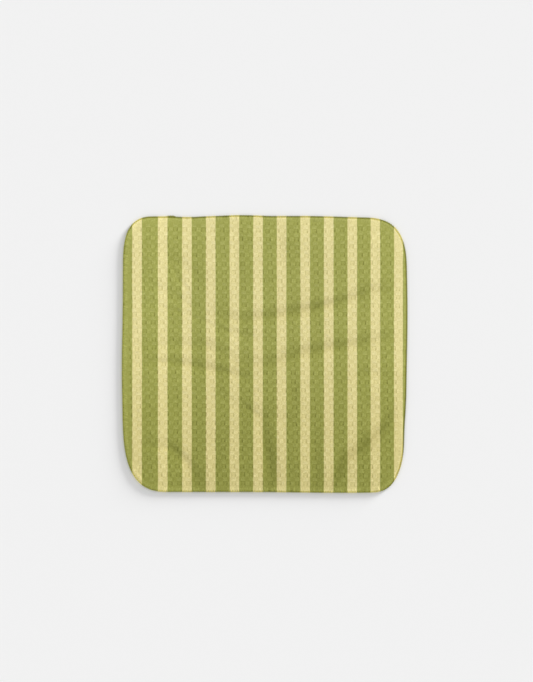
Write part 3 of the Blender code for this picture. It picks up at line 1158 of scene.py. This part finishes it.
thread_finish, shader, ink, shade, fuzz = textile("printed_thread", roughness=0.75, sheen=0.1,
                                                  painted_rim_shades=THREAD_RIM_PAINTED_SHADE)
tree = thread_finish.node_tree
shade = math_node(tree, "MULTIPLY", shade, THREAD_PAINTED_LIGHT)
along_thread = tree.nodes.new("ShaderNodeUVMap")
along_thread.uv_map = upper.data.uv_layers[0].name
uv = split_vector(tree, along_thread.outputs["UV"])
helix = math_node(tree, "MULTIPLY_ADD", uv["X"], UV_LENGTH / PLY_PITCH, uv["Y"])
twist = bump(tree, wave(tree, helix, PLIES), PLY_BUMP)
finish_textile(thread_finish, shader, ink, shade, fuzz, twist)
for yarn in (upper, lower, needle):
    yarn.data.materials.clear()
    yarn.data.materials.append(thread_finish)

# %% [markdown]
# ## Floor
# The towel lies on a plain pale floor, wide enough that its end is never seen. The floor is
# part of the stage and not of the towel. It lies a hair below the towel, because two faces
# at the same height would flicker.

# %% Floor
FLOOR_GREY = 0.90
FLOOR_SIZE = 4.0            # metres from its middle to its sides
FLOOR_GAP = 0.2 * MM

stage_mesh = bmesh.new()
bmesh.ops.create_grid(stage_mesh, x_segments=1, y_segments=1, size=FLOOR_SIZE)
bmesh.ops.translate(stage_mesh, verts=stage_mesh.verts, vec=(0.0, 0.0, cad_low.z - FLOOR_GAP))
floor = piece_from(stage_mesh, "floor")
floor_finish = bpy.data.materials.new("pale_floor")
floor_finish.use_nodes = True
floor_shader = floor_finish.node_tree.nodes["Principled BSDF"]
floor_shader.inputs["Base Color"].default_value = (FLOOR_GREY, FLOOR_GREY, FLOOR_GREY, 1.0)
floor_shader.inputs["Roughness"].default_value = 0.9
floor.data.materials.append(floor_finish)
print("floor:", 2 * FLOOR_SIZE, "m wide, its top", round((cad_low.z - FLOOR_GAP) / MM, 2), "mm up")

# %% [markdown]
# ## Light
# An even white sky gives most of the light. Its only shadow is a faint one where the cloth
# meets the floor. One soft light low down at the upper right draws the pits and creases, and
# lays the soft shadow along the left and near sides. A weaker one opposite stands for light
# that comes back from the room: it keeps the shaded hems from going black, and casts no
# shadow.

# %% Light
SKY_STRENGTH = 0.632
LOW = 9.5                   # degrees above the floor
WIDE = 17.0                 # degrees across, which makes a shadow's edge soft
LIGHT_FROM = 42.0           # where it comes from, in degrees anticlockwise from the right
LIGHT_STRENGTH = 5.3
FILL_STRENGTH = 1.3

world = bpy.data.worlds.new("soft_sky")
bpy.context.scene.world = world
world.use_nodes = True
sky = world.node_tree.nodes["Background"]
sky.inputs["Color"].default_value = (1.0, 1.0, 1.0, 1.0)
sky.inputs["Strength"].default_value = SKY_STRENGTH


def soft_sun(name, azimuth, elevation, spread, strength, shadow=True):
    """A far soft light from a direction and a height, spread over some degrees."""
    lamp = bpy.data.lights.new(name, "SUN")
    lamp.use_shadow = shadow
    lamp.angle = math.radians(spread)
    lamp.energy = strength
    light = bpy.data.objects.new(name, lamp)
    a, e = math.radians(azimuth), math.radians(elevation)
    away = Vector((math.cos(a) * math.cos(e), math.sin(a) * math.cos(e), math.sin(e)))
    light.location = away
    light.rotation_euler = (-away).to_track_quat("-Z", "Y").to_euler()
    bpy.context.scene.collection.objects.link(light)
    print(name, "comes from", azimuth, "degrees at", elevation, "degrees up")


soft_sun("low_side_light", LIGHT_FROM, LOW, WIDE, LIGHT_STRENGTH)
soft_sun("low_fill_light", LIGHT_FROM + 180.0, LOW, WIDE, FILL_STRENGTH, shadow=False)
bpy.context.scene.view_settings.view_transform = "Standard"

# %% [markdown]
# ## Tie every piece to the imported model
# The towel has no joints, so all of it rides on the one body. Each piece stands for the
# plain solid of the same sub-part.

for thing, node, slot in ((towel, "waffle_cloth", "printed_cloth"),
                          (upper, "upper_looper_thread", "edge_thread"),
                          (lower, "lower_looper_thread", "back_thread"),
                          (needle, "needle_thread", "face_thread")):
    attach(thing, "root")
    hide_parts(node)
